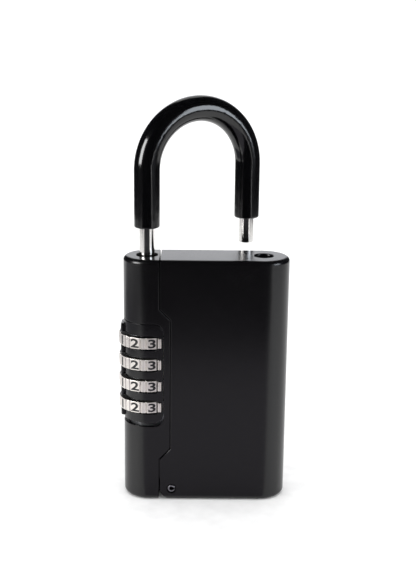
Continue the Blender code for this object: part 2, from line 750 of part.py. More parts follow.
# ---- the shackle, its spindle and spring ---------------------------------------------------
def spindle_profile():
    """Radius and height pairs from the yoke down to the tip, at +X."""
    collar_top = COLLAR_Z + COLLAR_HEIGHT
    tip = COLLAR_Z - SPINDLE_TIP
    yoke_top = NECK_TOP - FIT
    return [
        (0, yoke_top),
        (YOKE_RADIUS, yoke_top),
        (YOKE_RADIUS, YOKE_FOOT),
        (SPINDLE_RADIUS, YOKE_FOOT),
        (SPINDLE_RADIUS, collar_top),
        (COLLAR_RADIUS, collar_top),
        (COLLAR_RADIUS, COLLAR_Z),
        (SPINDLE_RADIUS, COLLAR_Z),
        (SPINDLE_RADIUS, tip),
        (0, tip),
    ]


def yoke_slot(name, radius, low, high):
    """A round room on the heel's axis that is open towards -X."""
    room = rod(name, (HEEL_X, 0, low), (HEEL_X, 0, high), radius)
    mouth = box(name + "_mouth", (HEEL_X - PAST, -radius, low), (HEEL_X, radius, high))
    return room, mouth


def locking_spindle():
    """The shaft that never turns: a fin for each hub's gate, and a yoke for the heel."""
    place = (HEEL_X, 0, 0)
    spindle = turn_profile("locking_spindle", spindle_profile(), place, PARTS, SPRING_STEEL)
    reach = GATE_RADIUS - FIT
    for i, z in enumerate(DIAL_Z):
        high = z + DIAL_PITCH - DIAL_HALF - FIN_GAP
        low = (HEEL_X - reach, -GATE_HALF, high - FIN_HEIGHT)
        add(spindle, box("fin_%d" % (i + 1), low, (HEEL_X, GATE_HALF, high)))
    cut(spindle, *yoke_slot("head_slot", ROD_RADIUS + FIT, HEAD_FOOT - FIT, HEAD_TOP + FIT))
    cut(spindle, *yoke_slot("neck_slot", NECK_RADIUS + FIT, HEAD_FOOT, NECK_TOP + PAST))
    return spindle


def shackle_path(foot, toe):
    """The shackle's middle line in its own plane: distance from the heel, and height."""
    bend = arc((ARCH_RADIUS, ARCH_Z), ARCH_RADIUS, 180, 0, 24)
    return [(0, foot), *bend, (2 * ARCH_RADIUS, toe)]


def bent_bar(name, path, radius, group, finish, resolution):
    curve = bpy.data.curves.new(name, "CURVE")
    curve.dimensions = "3D"
    curve.bevel_depth = radius
    curve.bevel_resolution = resolution
    curve.use_fill_caps = True
    spline = curve.splines.new("POLY")
    spline.points.add(len(path) - 1)
    for point, (across, z) in zip(spline.points, path, strict=True):
        point.co = (across, 0, z, 1)
    obj = curve_mesh(name, curve)
    return link(obj, group, finish)


def toe_chamfer_profile():
    """A ring of triangular section that takes the corner off the toe."""
    outer = ROD_RADIUS + MM
    inner = ROD_RADIUS - TOE_CHAMFER
    top = TOE_FOOT + TOE_CHAMFER
    foot = TOE_FOOT - MM
    return [(outer, top), (outer, foot), (inner, foot), (inner, TOE_FOOT), (ROD_RADIUS, top), (outer, top)]


def shackle():
    """The bent rod and its sleeve, swung back from over the toe hole."""
    bar_path = shackle_path(HEAD_FOOT, TOE_FOOT)
    bar = bent_bar("shackle_rod", bar_path, ROD_RADIUS, PARTS, CHROMED_STEEL, 3)
    rings = [circle((0, 0), ROD_RADIUS + MM), circle((0, 0), NECK_RADIUS)]
    groove = plate("heel_groove", rings, HEAD_TOP, NECK_TOP)
    toe_place = (2 * ARCH_RADIUS, 0, 0)
    chamfer = turn_profile("toe_chamfer", toe_chamfer_profile(), toe_place)
    sleeve_path = shackle_path(SLEEVE_FOOT, SLEEVE_FOOT)
    sleeve = bent_bar("shackle_sleeve", sleeve_path, SLEEVE_RADIUS, PARTS, SLEEVE_VINYL, 4)
    hollow_path = shackle_path(SLEEVE_FOOT - PAST, SLEEVE_FOOT - PAST)
    hollow = bent_bar("sleeve_hollow", hollow_path, ROD_RADIUS + RUNNING, CUTTERS, None, 3)
    cut(bar, groove, chamfer)
    cut(sleeve, hollow)
    for obj in (bar, sleeve, groove, chamfer, hollow):
        turned_place = Matrix.Rotation(SHACKLE_TURN, 3, "Z") @ obj.location
        obj.location = Vector((HEEL_X, 0, 0)) + turned_place
        obj.rotation_euler.z = SHACKLE_TURN


def shackle_spring():
    """The coil spring under the spindle's collar."""
    low = SEAT_TOP + SPRING_WIRE + RUNNING
    rise = COLLAR_Z - SPRING_WIRE - RUNNING - low
    count = SPRING_TURNS * SPRING_STEPS
    curve = bpy.data.curves.new("shackle_spring", "CURVE")
    curve.dimensions = "3D"
    curve.bevel_depth = SPRING_WIRE
    curve.bevel_resolution = 1
    curve.use_fill_caps = True
    spline = curve.splines.new("POLY")
    spline.points.add(count)
    for i, point in enumerate(spline.points):
        share = i / count
        angle = 2 * math.pi * SPRING_TURNS * share
        across = SPRING_RADIUS * math.cos(angle)
        point.co = (across, SPRING_RADIUS * math.sin(angle), low + rise * share, 1)
    obj = curve_mesh("shackle_spring", curve)
    obj.location = (HEEL_X, 0, 0)
    return link(obj, PARTS, SPRING_STEEL)


lock_case()
dial_bezel()
index_bars()
dials()
guide_plates()
heel_guide()
spring_seat()
click_spring()
mechanism_cover()
cover_screws()
code_slider()
locking_spindle()
shackle()
shackle_spring()
hinge_pin()
key_container()
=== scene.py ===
# %% [markdown]
# # A key-safe padlock
# The lock has two halves parted by a stepped seam. The left half holds four thumbwheels and the
# heel of the shackle, and the right half is a hollow container for keys that swings out about a
# pin. This file loads the model as a fixed frame and builds the fine surface on it.

# %% Load the frame
import json
import math

import bmesh
import bpy
from mathutils import Matrix, Vector

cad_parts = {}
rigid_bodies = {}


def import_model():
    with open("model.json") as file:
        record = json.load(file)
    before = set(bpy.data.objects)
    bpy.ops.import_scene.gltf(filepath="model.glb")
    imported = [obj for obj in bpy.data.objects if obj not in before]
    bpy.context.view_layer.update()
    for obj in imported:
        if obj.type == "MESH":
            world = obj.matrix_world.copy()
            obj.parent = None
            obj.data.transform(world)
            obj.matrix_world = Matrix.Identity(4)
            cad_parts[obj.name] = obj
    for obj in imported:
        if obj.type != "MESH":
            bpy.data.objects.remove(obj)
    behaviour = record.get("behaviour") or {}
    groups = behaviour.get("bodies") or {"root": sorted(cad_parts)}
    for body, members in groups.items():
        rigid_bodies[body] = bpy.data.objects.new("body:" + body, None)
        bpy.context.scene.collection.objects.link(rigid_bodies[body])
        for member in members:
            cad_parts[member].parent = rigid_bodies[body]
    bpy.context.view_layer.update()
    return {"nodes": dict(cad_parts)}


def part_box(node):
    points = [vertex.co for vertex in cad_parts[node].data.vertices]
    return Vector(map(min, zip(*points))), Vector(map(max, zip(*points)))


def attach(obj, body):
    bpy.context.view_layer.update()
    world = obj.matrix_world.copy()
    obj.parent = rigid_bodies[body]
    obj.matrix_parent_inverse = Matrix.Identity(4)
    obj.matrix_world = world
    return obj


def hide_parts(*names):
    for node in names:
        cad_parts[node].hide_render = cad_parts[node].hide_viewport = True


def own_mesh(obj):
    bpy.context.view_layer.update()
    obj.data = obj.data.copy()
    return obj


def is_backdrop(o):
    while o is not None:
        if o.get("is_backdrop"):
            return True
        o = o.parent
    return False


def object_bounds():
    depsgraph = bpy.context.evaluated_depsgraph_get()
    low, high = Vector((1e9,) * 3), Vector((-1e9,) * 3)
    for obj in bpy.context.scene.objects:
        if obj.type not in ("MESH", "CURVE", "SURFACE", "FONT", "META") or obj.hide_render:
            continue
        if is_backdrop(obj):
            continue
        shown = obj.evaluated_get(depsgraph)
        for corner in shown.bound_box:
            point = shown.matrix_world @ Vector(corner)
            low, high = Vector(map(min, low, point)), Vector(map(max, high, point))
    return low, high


for old in list(bpy.data.objects):
    bpy.data.objects.remove(old, do_unlink=True)
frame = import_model()
MM = 0.001

# %% [markdown]
# ## Sizes
# The frame knows where every piece is, so the large sizes are read from its boxes. Only the sizes
# that a box can't show, such as a radius inside a shape, are given here by name.

# %% Sizes of the body
case_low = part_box("lock_case")[0]
box_low, box_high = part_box("key_container")
bezel_low, bezel_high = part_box("dial_bezel")
pin_low, pin_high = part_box("hinge_pin")
HALF_WIDTH = box_high.x
HALF_DEPTH = box_high.y
TOP = box_high.z
WALL = 1.6 * MM
TOP_WALL = 3.0 * MM
FLOOR_WALL = 2.0 * MM
EDGE_ROUND = 1.9 * MM
FIT_GAP = 0.3 * MM
BORE_GAP = 0.1 * MM
PAST = 20 * MM
OVERSIZE = 1.0 * MM
TOUCHING = 1e-6
INNER_DEPTH = HALF_DEPTH - WALL
CEILING = TOP - TOP_WALL
print("body in mm:", round(2 * HALF_WIDTH / MM, 1), round(2 * HALF_DEPTH / MM, 1), round(TOP / MM, 1))

# %% Sizes of the seam, the pin, the shackle and the wheels
SEAM_GAP = 0.4 * MM
SEAM_STEP = 4.45 * MM
SEAM_LOW = 18.3 * MM
SEAM_HIGH = 83.0 * MM
SEAM_SLOPE = 4.6 * MM
CASE_EDGE = box_low.x - SEAM_GAP
BOX_EDGE = box_low.x
PIN = (pin_low + pin_high) / 2
PIN_RADIUS = (pin_high.x - pin_low.x) / 2
PIN_INSET = PIN.x - BOX_EDGE
LUG_RADIUS = 3.3 * MM
LUG_HALF = 5.0 * MM

hub_low, hub_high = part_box("code_hub_1")
HEEL_X = (hub_low.x + hub_high.x) / 2
TOE_X = 23.4 * MM
HEEL_HOLE_RADIUS = 4.25 * MM
TOE_HOLE_RADIUS = 3.8 * MM
HOLE_CHAMFER = 0.4 * MM
ROD_RADIUS = 3.15 * MM
SLEEVE_RADIUS = 5.25 * MM
ARCH_RADIUS = (TOE_X - HEEL_X) / 2
SHACKLE_TURN = math.radians(30)
sleeve_low, sleeve_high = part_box("shackle_sleeve")
rod_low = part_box("shackle_rod")[0]
ARCH_Z = sleeve_high.z - SLEEVE_RADIUS - ARCH_RADIUS
TRAVEL = 11.0 * MM
TOE_BARE = 10.8 * MM
TOE_FOOT = sleeve_low.z - TOE_BARE

dial_boxes = [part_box("dial_ring_%d" % (i + 1)) for i in range(4)]
WHEEL_NUMBERS = range(1, len(dial_boxes) + 1)
DIAL_Z = [(low.z + high.z) / 2 for low, high in dial_boxes]
DIAL_HALF = (dial_boxes[0][1].z - dial_boxes[0][0].z) / 2
DIAL_RADIUS = 11.67 * MM
DIAL_BORE = 9.2 * MM
WHEEL_GAP = 0.55 * MM
DIGITS = 10
print("thumbwheel heights in mm:", [round(z / MM, 1) for z in DIAL_Z])

# %% [markdown]
# ## The camera
# The lock was seen from a little above its middle, through a fairly long lens. The camera is placed
# by its bearing from the body's middle, and then turned by its own three angles, because it wasn't
# aimed at that middle.

# %% Camera
CAMERA_DISTANCE = 0.4644
CAMERA_AZIMUTH = math.radians(-0.61)
CAMERA_ELEVATION = math.radians(19.45)
LOOK_AZIMUTH = math.radians(-0.70)
LOOK_DOWN = math.radians(14.55)
ROLL = math.radians(0.73)
AIM = Vector((0, 0, 0.05))


def bearing(azimuth, elevation):
    """The unit vector from the object towards a camera at this azimuth and elevation."""
    flat = math.cos(elevation)
    return Vector((math.sin(azimuth) * flat, -math.cos(azimuth) * flat, math.sin(elevation)))


lens_data = bpy.data.cameras.new("camera")
lens_data.sensor_fit = "AUTO"
lens_data.sensor_width = 36.0
lens_data.lens = 69.6
camera = bpy.data.objects.new("camera", lens_data)
bpy.context.scene.collection.objects.link(camera)
camera.location = AIM + CAMERA_DISTANCE * bearing(CAMERA_AZIMUTH, CAMERA_ELEVATION)
level = (-bearing(LOOK_AZIMUTH, LOOK_DOWN)).to_track_quat("-Z", "Y")
camera.rotation_mode = "QUATERNION"
camera.rotation_quaternion = level @ Matrix.Rotation(ROLL, 3, "Z").to_quaternion()
bpy.context.scene.camera = camera
print("camera at", [round(c, 3) for c in camera.location])

# %% [markdown]
# ## The floor and the light
# Black paint shows nothing but what it mirrors. So the room matters as much as the paint: the lock
# stands on a pale floor under a broad soft light, and a dark tent stands round it at arm's length.
# The tent is seen only in reflections. So the flat front mirrors the floor near its foot and
# darkness above, while the open back of the tent lights the top face.

# %% Floor, sky and view
bpy.context.scene.view_settings.view_transform = "Standard"
FLOOR_HALF = 40.0


def board(name, corners):
    """A flat sheet through four corners, which is part of the room."""
    mesh = bpy.data.meshes.new(name)
    mesh.from_pydata(corners, [], [(0, 1, 2, 3)])
    made = bpy.data.objects.new(name, mesh)
    bpy.context.scene.collection.objects.link(made)
    made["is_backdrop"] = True
    return made


FLOOR_DROP = -0.0002
signs = ((-1, -1), (1, -1), (1, 1), (-1, 1))
floor = board("floor", [(x * FLOOR_HALF, y * FLOOR_HALF, FLOOR_DROP) for x, y in signs])

sky = bpy.data.worlds.new("soft_sky")
sky.use_nodes = True
sky.node_tree.nodes["Background"].inputs["Color"].default_value = (1.0, 1.0, 1.0, 1.0)
sky.node_tree.nodes["Background"].inputs["Strength"].default_value = 1.05
bpy.context.scene.world = sky
print("floor reaches", FLOOR_HALF, "m each way")


# %% Broad light
SUN_WAY = Vector((0.5, 0.9, -1.4))
light = bpy.data.lights.new("broad_light", "SUN")
light.energy = 1.7
light.angle = math.radians(110)
broad = bpy.data.objects.new("broad_light", light)
bpy.context.scene.collection.objects.link(broad)
broad.rotation_mode = "QUATERNION"
broad.rotation_quaternion = SUN_WAY.to_track_quat("-Z", "Y")
broad.visible_glossy = False

# %% The dark tent
TENT_HEIGHT = 1.1
TENT_FOOT = 0.004
TENT_OFF_CENTRE = 0.01
TENT_PLAN = [(0.2, 0.6), (0.45, 0.4), (0.58, 0.0), (0.4, -0.44), (0.17, -0.2)]
CARD_NEAR, CARD_FAR = (0.025, -0.012), (0.15, -0.21)
CARD_HEIGHT = 0.001


def only_in_mirrors(made):
    """A piece of the room that only mirrors see."""
    made.visible_camera = False
    made.visible_shadow = False
    made.visible_diffuse = False
    made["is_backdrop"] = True
    return made


def dark_tent():
    """A wall round the lock, open at the back, with a roof. Only mirrors see it."""
    left = [(-x - TENT_OFF_CENTRE, y) for x, y in reversed(TENT_PLAN)]
    plan = TENT_PLAN + left
    shape = bmesh.new()
    foot = [shape.verts.new((x, y, TENT_FOOT)) for x, y in plan]
    top = [shape.verts.new((x, y, TENT_HEIGHT)) for x, y in plan]
    for i in range(len(plan) - 1):
        shape.faces.new((foot[i], foot[i + 1], top[i + 1], top[i]))
    shape.faces.new(top)
    mesh = bpy.data.meshes.new("dark_tent")
    shape.to_mesh(mesh)
    shape.free()
    made = bpy.data.objects.new("dark_tent", mesh)
    bpy.context.scene.collection.objects.link(made)
    return only_in_mirrors(made)


tent = dark_tent()
card_corners = [CARD_NEAR, CARD_FAR, (-CARD_FAR[0], CARD_FAR[1]), (-CARD_NEAR[0], CARD_NEAR[1])]
card = only_in_mirrors(board("grey_card", [(x, y, CARD_HEIGHT) for x, y in card_corners]))
side_corners = [(-0.2, -0.3), (-0.2, 0.2), (-0.42, 0.2), (-0.36, -0.3)]
side_card = only_in_mirrors(board("side_card", [(x, y, CARD_HEIGHT) for x, y in side_corners]))
print("tent panels:", len(tent.data.polygons))

# %% [markdown]
# ## Finishes as sums
# A finish is a small circuit of nodes. Written out by hand it is hard to read, so one class wraps
# a socket and lets Python's own signs add the Math nodes. A single method makes every other node.


# %% Signals and finishes
MIX_SHARE, MIX_FIRST, MIX_SECOND, MIX_RESULT = 0, 6, 7, 2


class Signal:
    """One output socket of a finish, which Python's signs can work on."""

    def __init__(self, finish, socket):
        self.finish = finish
        self.socket = socket

    def maths(self, operation, first, second=0.0):
        return self.finish.node("ShaderNodeMath", {"operation": operation}, {0: first, 1: second})

    def __add__(self, other):
        return self.maths("ADD", self, other)

    def __radd__(self, other):
        return self.maths("ADD", other, self)

    def __sub__(self, other):
        return self.maths("SUBTRACT", self, other)

    def __rsub__(self, other):
        return self.maths("SUBTRACT", other, self)

    def __mul__(self, other):
        return self.maths("MULTIPLY", self, other)

    def __rmul__(self, other):
        return self.maths("MULTIPLY", other, self)

    def __abs__(self):
        return self.maths("ABSOLUTE", self)


class Finish:
    """A material with its Principled shader, built from signals."""

    def __init__(self, name, **plain):
        self.material = bpy.data.materials.new(name)
        self.material.use_nodes = True
        self.tree = self.material.node_tree
        self.shader = self.tree.nodes["Principled BSDF"]
        for socket, value in plain.items():
            self.feed(socket.replace("_", " "), value)

    def put(self, socket, value):
        if isinstance(value, Signal):
            self.tree.links.new(value.socket, socket)
        else:
            socket.default_value = value

    def feed(self, socket, value):
        """Puts a value or a signal into a socket of the shader."""
        self.put(self.shader.inputs[socket], value)

    def node(self, kind, settings=None, values=None, output=0):
        """Any node: its settings first, then what goes into its sockets."""
        made = self.tree.nodes.new(kind)
        for key, value in (settings or {}).items():
            if key == "stops":
                self.set_stops(made.color_ramp, value)
            else:
                setattr(made, key, value)
        for key, value in (values or {}).items():
            self.put(made.inputs[key], value)
        return Signal(self, made.outputs[output])

    def set_stops(self, ramp, stops):
        while len(ramp.elements) < len(stops):
            ramp.elements.new(0.5)
        for element, (place, grey) in zip(ramp.elements, stops, strict=True):
            element.position = place
            element.color = (grey, grey, grey, 1.0)

    def place(self):
        """Where a point is on its piece, in metres."""
        return self.node("ShaderNodeTexCoord", output="Object")

    def noise(self, scale, detail=3.0, roughness=0.55, stretch=(1, 1, 1)):
        """Grey noise with so many features a metre, stretched if asked."""
        spot = self.node(
            "ShaderNodeVectorMath", {"operation": "MULTIPLY"}, {0: self.place(), 1: Vector(stretch)}
        )
        values = {"Vector": spot, "Scale": scale, "Detail": detail, "Roughness": roughness}
        return self.node("ShaderNodeTexNoise", None, values)

    def ramp(self, signal, *stops):
        """The signal through a ramp of (place, grey) stops."""
        return self.node("ShaderNodeValToRGB", {"stops": stops}, {"Fac": signal})

    def mix(self, share, first, second):
        """A colour between first and second, which may be colours or signals."""
        ends = [end if isinstance(end, Signal) else (*end, 1.0) for end in (first, second)]
        values = {MIX_SHARE: share, MIX_FIRST: ends[0], MIX_SECOND: ends[1]}
        return self.node("ShaderNodeMix", {"data_type": "RGBA"}, values, MIX_RESULT)

    def bump(self, height, depth):
        """Turns a height signal, with its depth in metres, into the surface's normal."""
        values = {"Height": height, "Distance": depth, "Strength": 1.0}
        self.feed("Normal", self.node("ShaderNodeBump", None, values))


print("socket maths is ready")

# %% [markdown]
# ## The black coat
# The two halves are zinc castings under a baked black coat. Such a coat is satin, not matt: the
# light breaks up on a very fine grain, and a few specks stand out. A fine noise gives the grain,
# and a thresholded one gives the specks.


# %% Black coat
def black_coat(name, colour, roughness, grain):
    finish = Finish(name, Specular_IOR_Level=0.42)
    fine = finish.noise(5200, 2.0)
    cloud = finish.noise(60, 3.0)
    specks = finish.ramp(finish.noise(900, 1.0), (0.76, 0.0), (0.79, 1.0))
    paler = tuple(c * 2.6 + 0.01 for c in colour)
    finish.feed("Base Color", finish.mix(specks * 0.7, colour, paler))
    finish.feed("Roughness", roughness + 0.08 * (cloud - 0.5) + 0.06 * (fine - 0.5) - 0.05 * specks)
    finish.bump(fine + 1.5 * specks, grain)
    return finish.material


COATED_BODY = black_coat("coated_body", (0.0013, 0.0011, 0.0016), 0.25, 0.000005)
BEZEL_BLACK = black_coat("bezel_black", (0.0014, 0.0012, 0.0018), 0.23, 0.000004)
print("coats:", COATED_BODY.name, BEZEL_BLACK.name)

# %% [markdown]
# ## Vinyl, chrome and nickel
# The sleeve is soft vinyl, glossy enough to mirror the room, with the faint waviness of a moulded
# tube. The rod is bright chrome with hairline marks along it, where it slides in and out. The
# wheels are nickel with a satin turn, so their fine lines run round them. Faces of the wheels and
# of the index bars that point up or down are painted nearly black as painted shade.


# %% Sleeve vinyl
def sleeve_vinyl():
    finish = Finish("sleeve_vinyl", Base_Color=(0.0005, 0.0005, 0.0008, 1.0), Specular_IOR_Level=0.5)
    wave = finish.noise(90, 2.0)
    scuff = finish.ramp(finish.noise(260, 4.0, 0.7, (1, 1, 0.25)), (0.6, 0.0), (0.82, 1.0))
    finish.feed("Roughness", 0.13 + 0.05 * (wave - 0.5) + 0.14 * scuff)
    finish.bump(wave, 0.00012)
    return finish.material


def bright_chrome():
    finish = Finish("shackle_steel", Metallic=1.0)
    lines = finish.noise(2600, 2.0, 0.6, (1, 1, 0.02))
    stain = finish.noise(130, 3.0)
    finish.feed("Base Color", finish.mix(stain, (0.76, 0.75, 0.74), (0.66, 0.64, 0.62)))
    finish.feed("Roughness", 0.1 + 0.12 * (lines - 0.5) + 0.05 * stain)
    finish.bump(lines, 0.000004)
    return finish.material


def satin_nickel():
    finish = Finish("wheel_nickel", Metallic=0.85)
    lines = finish.noise(3000, 2.0, 0.6, (0.05, 0.05, 1))
    cloud = finish.noise(220, 3.0)
    rolled = finish.mix(cloud, (0.8, 0.76, 0.72), (0.68, 0.64, 0.6))
    facing = finish.node("ShaderNodeNewGeometry", output="Normal")
    upward = finish.node("ShaderNodeSeparateXYZ", None, {0: facing}, output="Z")
    # Painted shade: faces that point up or down are painted nearly black, standing in for the shade in
    # the windows above and below each wheel.
    painted_shade_on_ends = finish.ramp(abs(upward), (0.6, 0.0), (0.9, 1.0))
    finish.feed("Base Color", finish.mix(painted_shade_on_ends, rolled, (0.05, 0.046, 0.043)))
    finish.feed("Roughness", 0.3 + 0.14 * (lines - 0.5) + 0.08 * (cloud - 0.5))
    finish.bump(lines, 0.000005)
    return finish.material


SLEEVE_VINYL = sleeve_vinyl()
SHACKLE_STEEL = bright_chrome()
WHEEL_NICKEL = satin_nickel()
print("bright finishes:", SLEEVE_VINYL.name, SHACKLE_STEEL.name, WHEEL_NICKEL.name)

# %% [markdown]
# ## The other metals, the plastics and the paint
# The pieces inside are plainer: bare zinc castings, drawn and turned steel, and moulded plastic.
# One recipe makes each metal and another each plastic, so a new finish is one line with its colours
# and its gloss. The digits' paint, the floor and the cards use the second recipe too.


# %% Zinc, spring steel, plastics and paint
def worn_metal(name, bright, dull, roughness, scale, stretch=(1, 1, 1)):
    finish = Finish(name, Metallic=1.0)
    cloud = finish.noise(scale, 4.0, 0.6, stretch)
    fine = finish.noise(3500, 2.0)
    finish.feed("Base Color", finish.mix(cloud, bright, dull))
    finish.feed("Roughness", roughness + 0.15 * (cloud - 0.5) + 0.06 * (fine - 0.5))
    finish.bump(fine, 0.00001)
    return finish.material


def moulded(name, colour, roughness):
    finish = Finish(name)
    grain = finish.noise(2600, 3.0)
    cloud = finish.noise(120, 2.0)
    darker = tuple(c * 0.8 for c in colour)
    finish.feed("Base Color", finish.mix(cloud, colour, darker))
    finish.feed("Roughness", roughness + 0.1 * (grain - 0.5))
    finish.bump(grain, 0.00002)
    return finish.material


BARE_ZINC = worn_metal("bare_zinc", (0.62, 0.63, 0.65), (0.42, 0.43, 0.45), 0.42, 300)
SPRING_STEEL = worn_metal("spring_steel", (0.5, 0.5, 0.5), (0.3, 0.3, 0.31), 0.32, 500)
DARK_PIN = worn_metal("pin_black", (0.5, 0.5, 0.52), (0.24, 0.24, 0.25), 0.3, 700)
BLACK_PLASTIC = moulded("black_plastic", (0.02, 0.02, 0.022), 0.45)
NYLON = moulded("nylon", (0.72, 0.7, 0.64), 0.5)
DIGIT_PAINT = moulded("digit_paint", (0.008, 0.008, 0.009), 0.35)
FLOOR_WHITE = moulded("floor_white", (0.97, 0.97, 0.97), 0.6)
floor.data.materials.append(FLOOR_WHITE)
TENT_CLOTH = moulded("tent_cloth", (0.02, 0.02, 0.024), 0.9)
GREY_CARD = moulded("grey_card", (0.44, 0.42, 0.47), 0.9)
card.data.materials.append(GREY_CARD)
side_card.data.materials.append(moulded("side_card", (0.2, 0.2, 0.23), 0.9))
tent.data.materials.append(TENT_CLOTH)
print("finishes:", len(bpy.data.materials))

# %% [markdown]
# ## Soft boxes
# Each soft box is a glowing board that stands inside the tent and shows only as a highlight. It is
# placed by the direction in which the lock sees it, as a bearing, a distance and two heights.


# %% Soft boxes
def soft_box(name, azimuth, distance, width, low, high, glow, tint=(1.0, 1.0, 1.0)):
    """An upright glowing board that faces the lock."""
    out = Vector((math.sin(math.radians(azimuth)), -math.cos(math.radians(azimuth)), 0)) * distance
    side = Vector((-out.y, out.x, 0)).normalized() * width / 2
    corners = [out - side, out + side, out + side, out - side]
    heights = (low, low, high, high)
    made = board(name, [(c.x, c.y, z) for c, z in zip(corners, heights, strict=True)])
    black = (0.0, 0.0, 0.0, 1.0)
    finish = Finish(name, Base_Color=black, Emission_Color=(*tint, 1.0), Emission_Strength=glow)
    made.data.materials.append(finish.material)
    return only_in_mirrors(made)


soft_boxes = [
    soft_box("left_box", -64, 0.5, 0.22, 0.15, 0.46, 15.0),
    soft_box("right_box", 62, 0.5, 0.2, 0.1, 0.36, 8.0, (0.86, 0.92, 1.0)),
    soft_box("right_strip", 45, 0.44, 0.012, 0.0, 0.12, 6.0),
    soft_box("back_box", 180, 0.9, 0.9, 0.05, 0.6, 1.5, (0.95, 0.96, 1.0)),
]
print("soft boxes:", len(soft_boxes))

# %% [markdown]
# ## Shaping tools
# Nearly every piece is a flat outline with thickness, a turned profile, or a bar along a path.
# Each is a curve made into a mesh. Holes and steps are cut with booleans, and a narrow bevel then
# takes the knife edge off every corner, because a real corner always catches a thread of light.


# %% Outlines
def arc(centre, radius, start, end, steps):
    """Points along an arc in degrees, both ends included."""
    angles = [math.radians(start + (end - start) * i / steps) for i in range(steps + 1)]
    return [(centre[0] + radius * math.cos(a), centre[1] + radius * math.sin(a)) for a in angles]


def circle(centre, radius, steps=64):
    return arc(centre, radius, 0, 360, steps)[:-1]


def stadium(half_width, half_depth, steps=40):
    """A plan with a straight front and back and half-round sides."""
    middle = half_width - half_depth
    right = arc((middle, 0), half_depth, -90, 90, steps)
    left = arc((-middle, 0), half_depth, 90, 270, steps)
    return right + left


# %% Solids from outlines, profiles and paths
def link(name, mesh):
    made = bpy.data.objects.new(name, mesh)
    bpy.context.scene.collection.objects.link(made)
    return made


def solid_from_curve(name, curve):
    guide = link(name, curve)
    graph = bpy.context.evaluated_depsgraph_get()
    mesh = bpy.data.meshes.new_from_object(guide.evaluated_get(graph))
    bpy.data.objects.remove(guide, do_unlink=True)
    shape = bmesh.new()
    shape.from_mesh(mesh)
    bmesh.ops.remove_doubles(shape, verts=shape.verts, dist=TOUCHING)
    bmesh.ops.recalc_face_normals(shape, faces=shape.faces)
    shape.to_mesh(mesh)
    shape.free()
    return link(name, mesh)


def plate(name, outlines, low, high, rounding=0.0):
    """Flat outlines in plan, filled and extruded from height low to high."""
    curve = bpy.data.curves.new(name, "CURVE")
    curve.dimensions = "2D"
    curve.fill_mode = "BOTH"
    curve.extrude = (high - low) / 2 - rounding
    if rounding:
        curve.bevel_depth = rounding
        curve.bevel_resolution = 6
        curve.offset = -rounding
    for points in outlines:
        spline = curve.splines.new("POLY")
        spline.points.add(len(points) - 1)
        for point, (x, y) in zip(spline.points, points, strict=True):
            point.co = (x, y, 0, 1)
        spline.use_cyclic_u = True
    made = solid_from_curve(name, curve)
    made.data.transform(Matrix.Translation((0, 0, (low + high) / 2)))
    return made


def upright(name, outline, front=-PAST, back=PAST):
    """A flat outline of (x, z) points, extruded along Y."""
    made = plate(name, [outline], -back, -front)
    made.data.transform(Matrix.Rotation(math.pi / 2, 4, "X"))
    return made


def block(name, low, high):
    shape = bmesh.new()
    bmesh.ops.create_cube(shape, size=1.0)
    bmesh.ops.scale(shape, vec=Vector(high) - Vector(low), verts=shape.verts)
    bmesh.ops.translate(shape, vec=(Vector(low) + Vector(high)) / 2, verts=shape.verts)
    mesh = bpy.data.meshes.new(name)
    shape.to_mesh(mesh)
    shape.free()
    return link(name, mesh)


def round_bar(name, start, end, radius, steps=48):
    along = Vector(end) - Vector(start)
    shape = bmesh.new()
    bmesh.ops.create_cone(
        shape, cap_ends=True, segments=steps, radius1=radius, radius2=radius, depth=along.length
    )
    turn = Vector((0, 0, 1)).rotation_difference(along).to_matrix().to_4x4()
    shape.transform(Matrix.Translation((Vector(start) + Vector(end)) / 2) @ turn)
    mesh = bpy.data.meshes.new(name)
    shape.to_mesh(mesh)
    shape.free()
    return link(name, mesh)


def bake_shape(obj):
    """Applies an object's modifiers to its mesh."""
    graph = bpy.context.evaluated_depsgraph_get()
    mesh = bpy.data.meshes.new_from_object(obj.evaluated_get(graph))
    obj.modifiers.clear()
    obj.data = mesh
    return obj


def turned(name, profile, place, steps=64):
    """A turned shape from (radius, height) pairs that run down its outer side."""
    mesh = bpy.data.meshes.new(name)
    edges = [(i, i + 1) for i in range(len(profile) - 1)]
    mesh.from_pydata([(r, 0, z) for r, z in profile], edges, [])
    made = link(name, mesh)
    screw = made.modifiers.new("turn", "SCREW")
    screw.steps = screw.render_steps = steps
    screw.use_merge_vertices = True
    screw.merge_threshold = 1e-5
    bake_shape(made)
    made.data.transform(Matrix.Translation(place))
    return made


# %% Cutting, joining and finishing a solid
FLAT_ENOUGH = math.radians(0.5)


def combine(obj, others, operation):
    for other in others:
        step = obj.modifiers.new(operation, "BOOLEAN")
        step.operation = operation
        step.solver = "EXACT"
        step.object = other
    bake_shape(obj)
    for other in others:
        bpy.data.objects.remove(other, do_unlink=True)
    return obj


def cut(obj, *others):
    return combine(obj, others, "DIFFERENCE")


def add(obj, *others):
    return combine(obj, others, "UNION")


def keep(obj, *others):
    return combine(obj, others, "INTERSECT")


def soften(obj, width, angle=38, segments=2):
    """A narrow bevel on the sharp edges, then smooth shading with even normals."""
    shape = bmesh.new()
    shape.from_mesh(obj.data)
    bmesh.ops.dissolve_limit(shape, angle_limit=FLAT_ENOUGH, verts=shape.verts, edges=shape.edges)
    shape.to_mesh(obj.data)
    shape.free()
    edge = obj.modifiers.new("soft_edge", "BEVEL")
    edge.width = width
    edge.segments = segments
    edge.limit_method = "ANGLE"
    edge.angle_limit = math.radians(angle)
    edge.use_clamp_overlap = False
    return even_shading(bake_shape(obj))


def even_shading(obj):
    """Smooth shading that keeps flat faces flat."""
    obj.data.shade_smooth()
    obj.data.set_sharp_from_angle(angle=math.radians(44))
    even = obj.modifiers.new("even_normals", "WEIGHTED_NORMAL")
    even.weight = 100
    even.keep_sharp = True
    return bake_shape(obj)


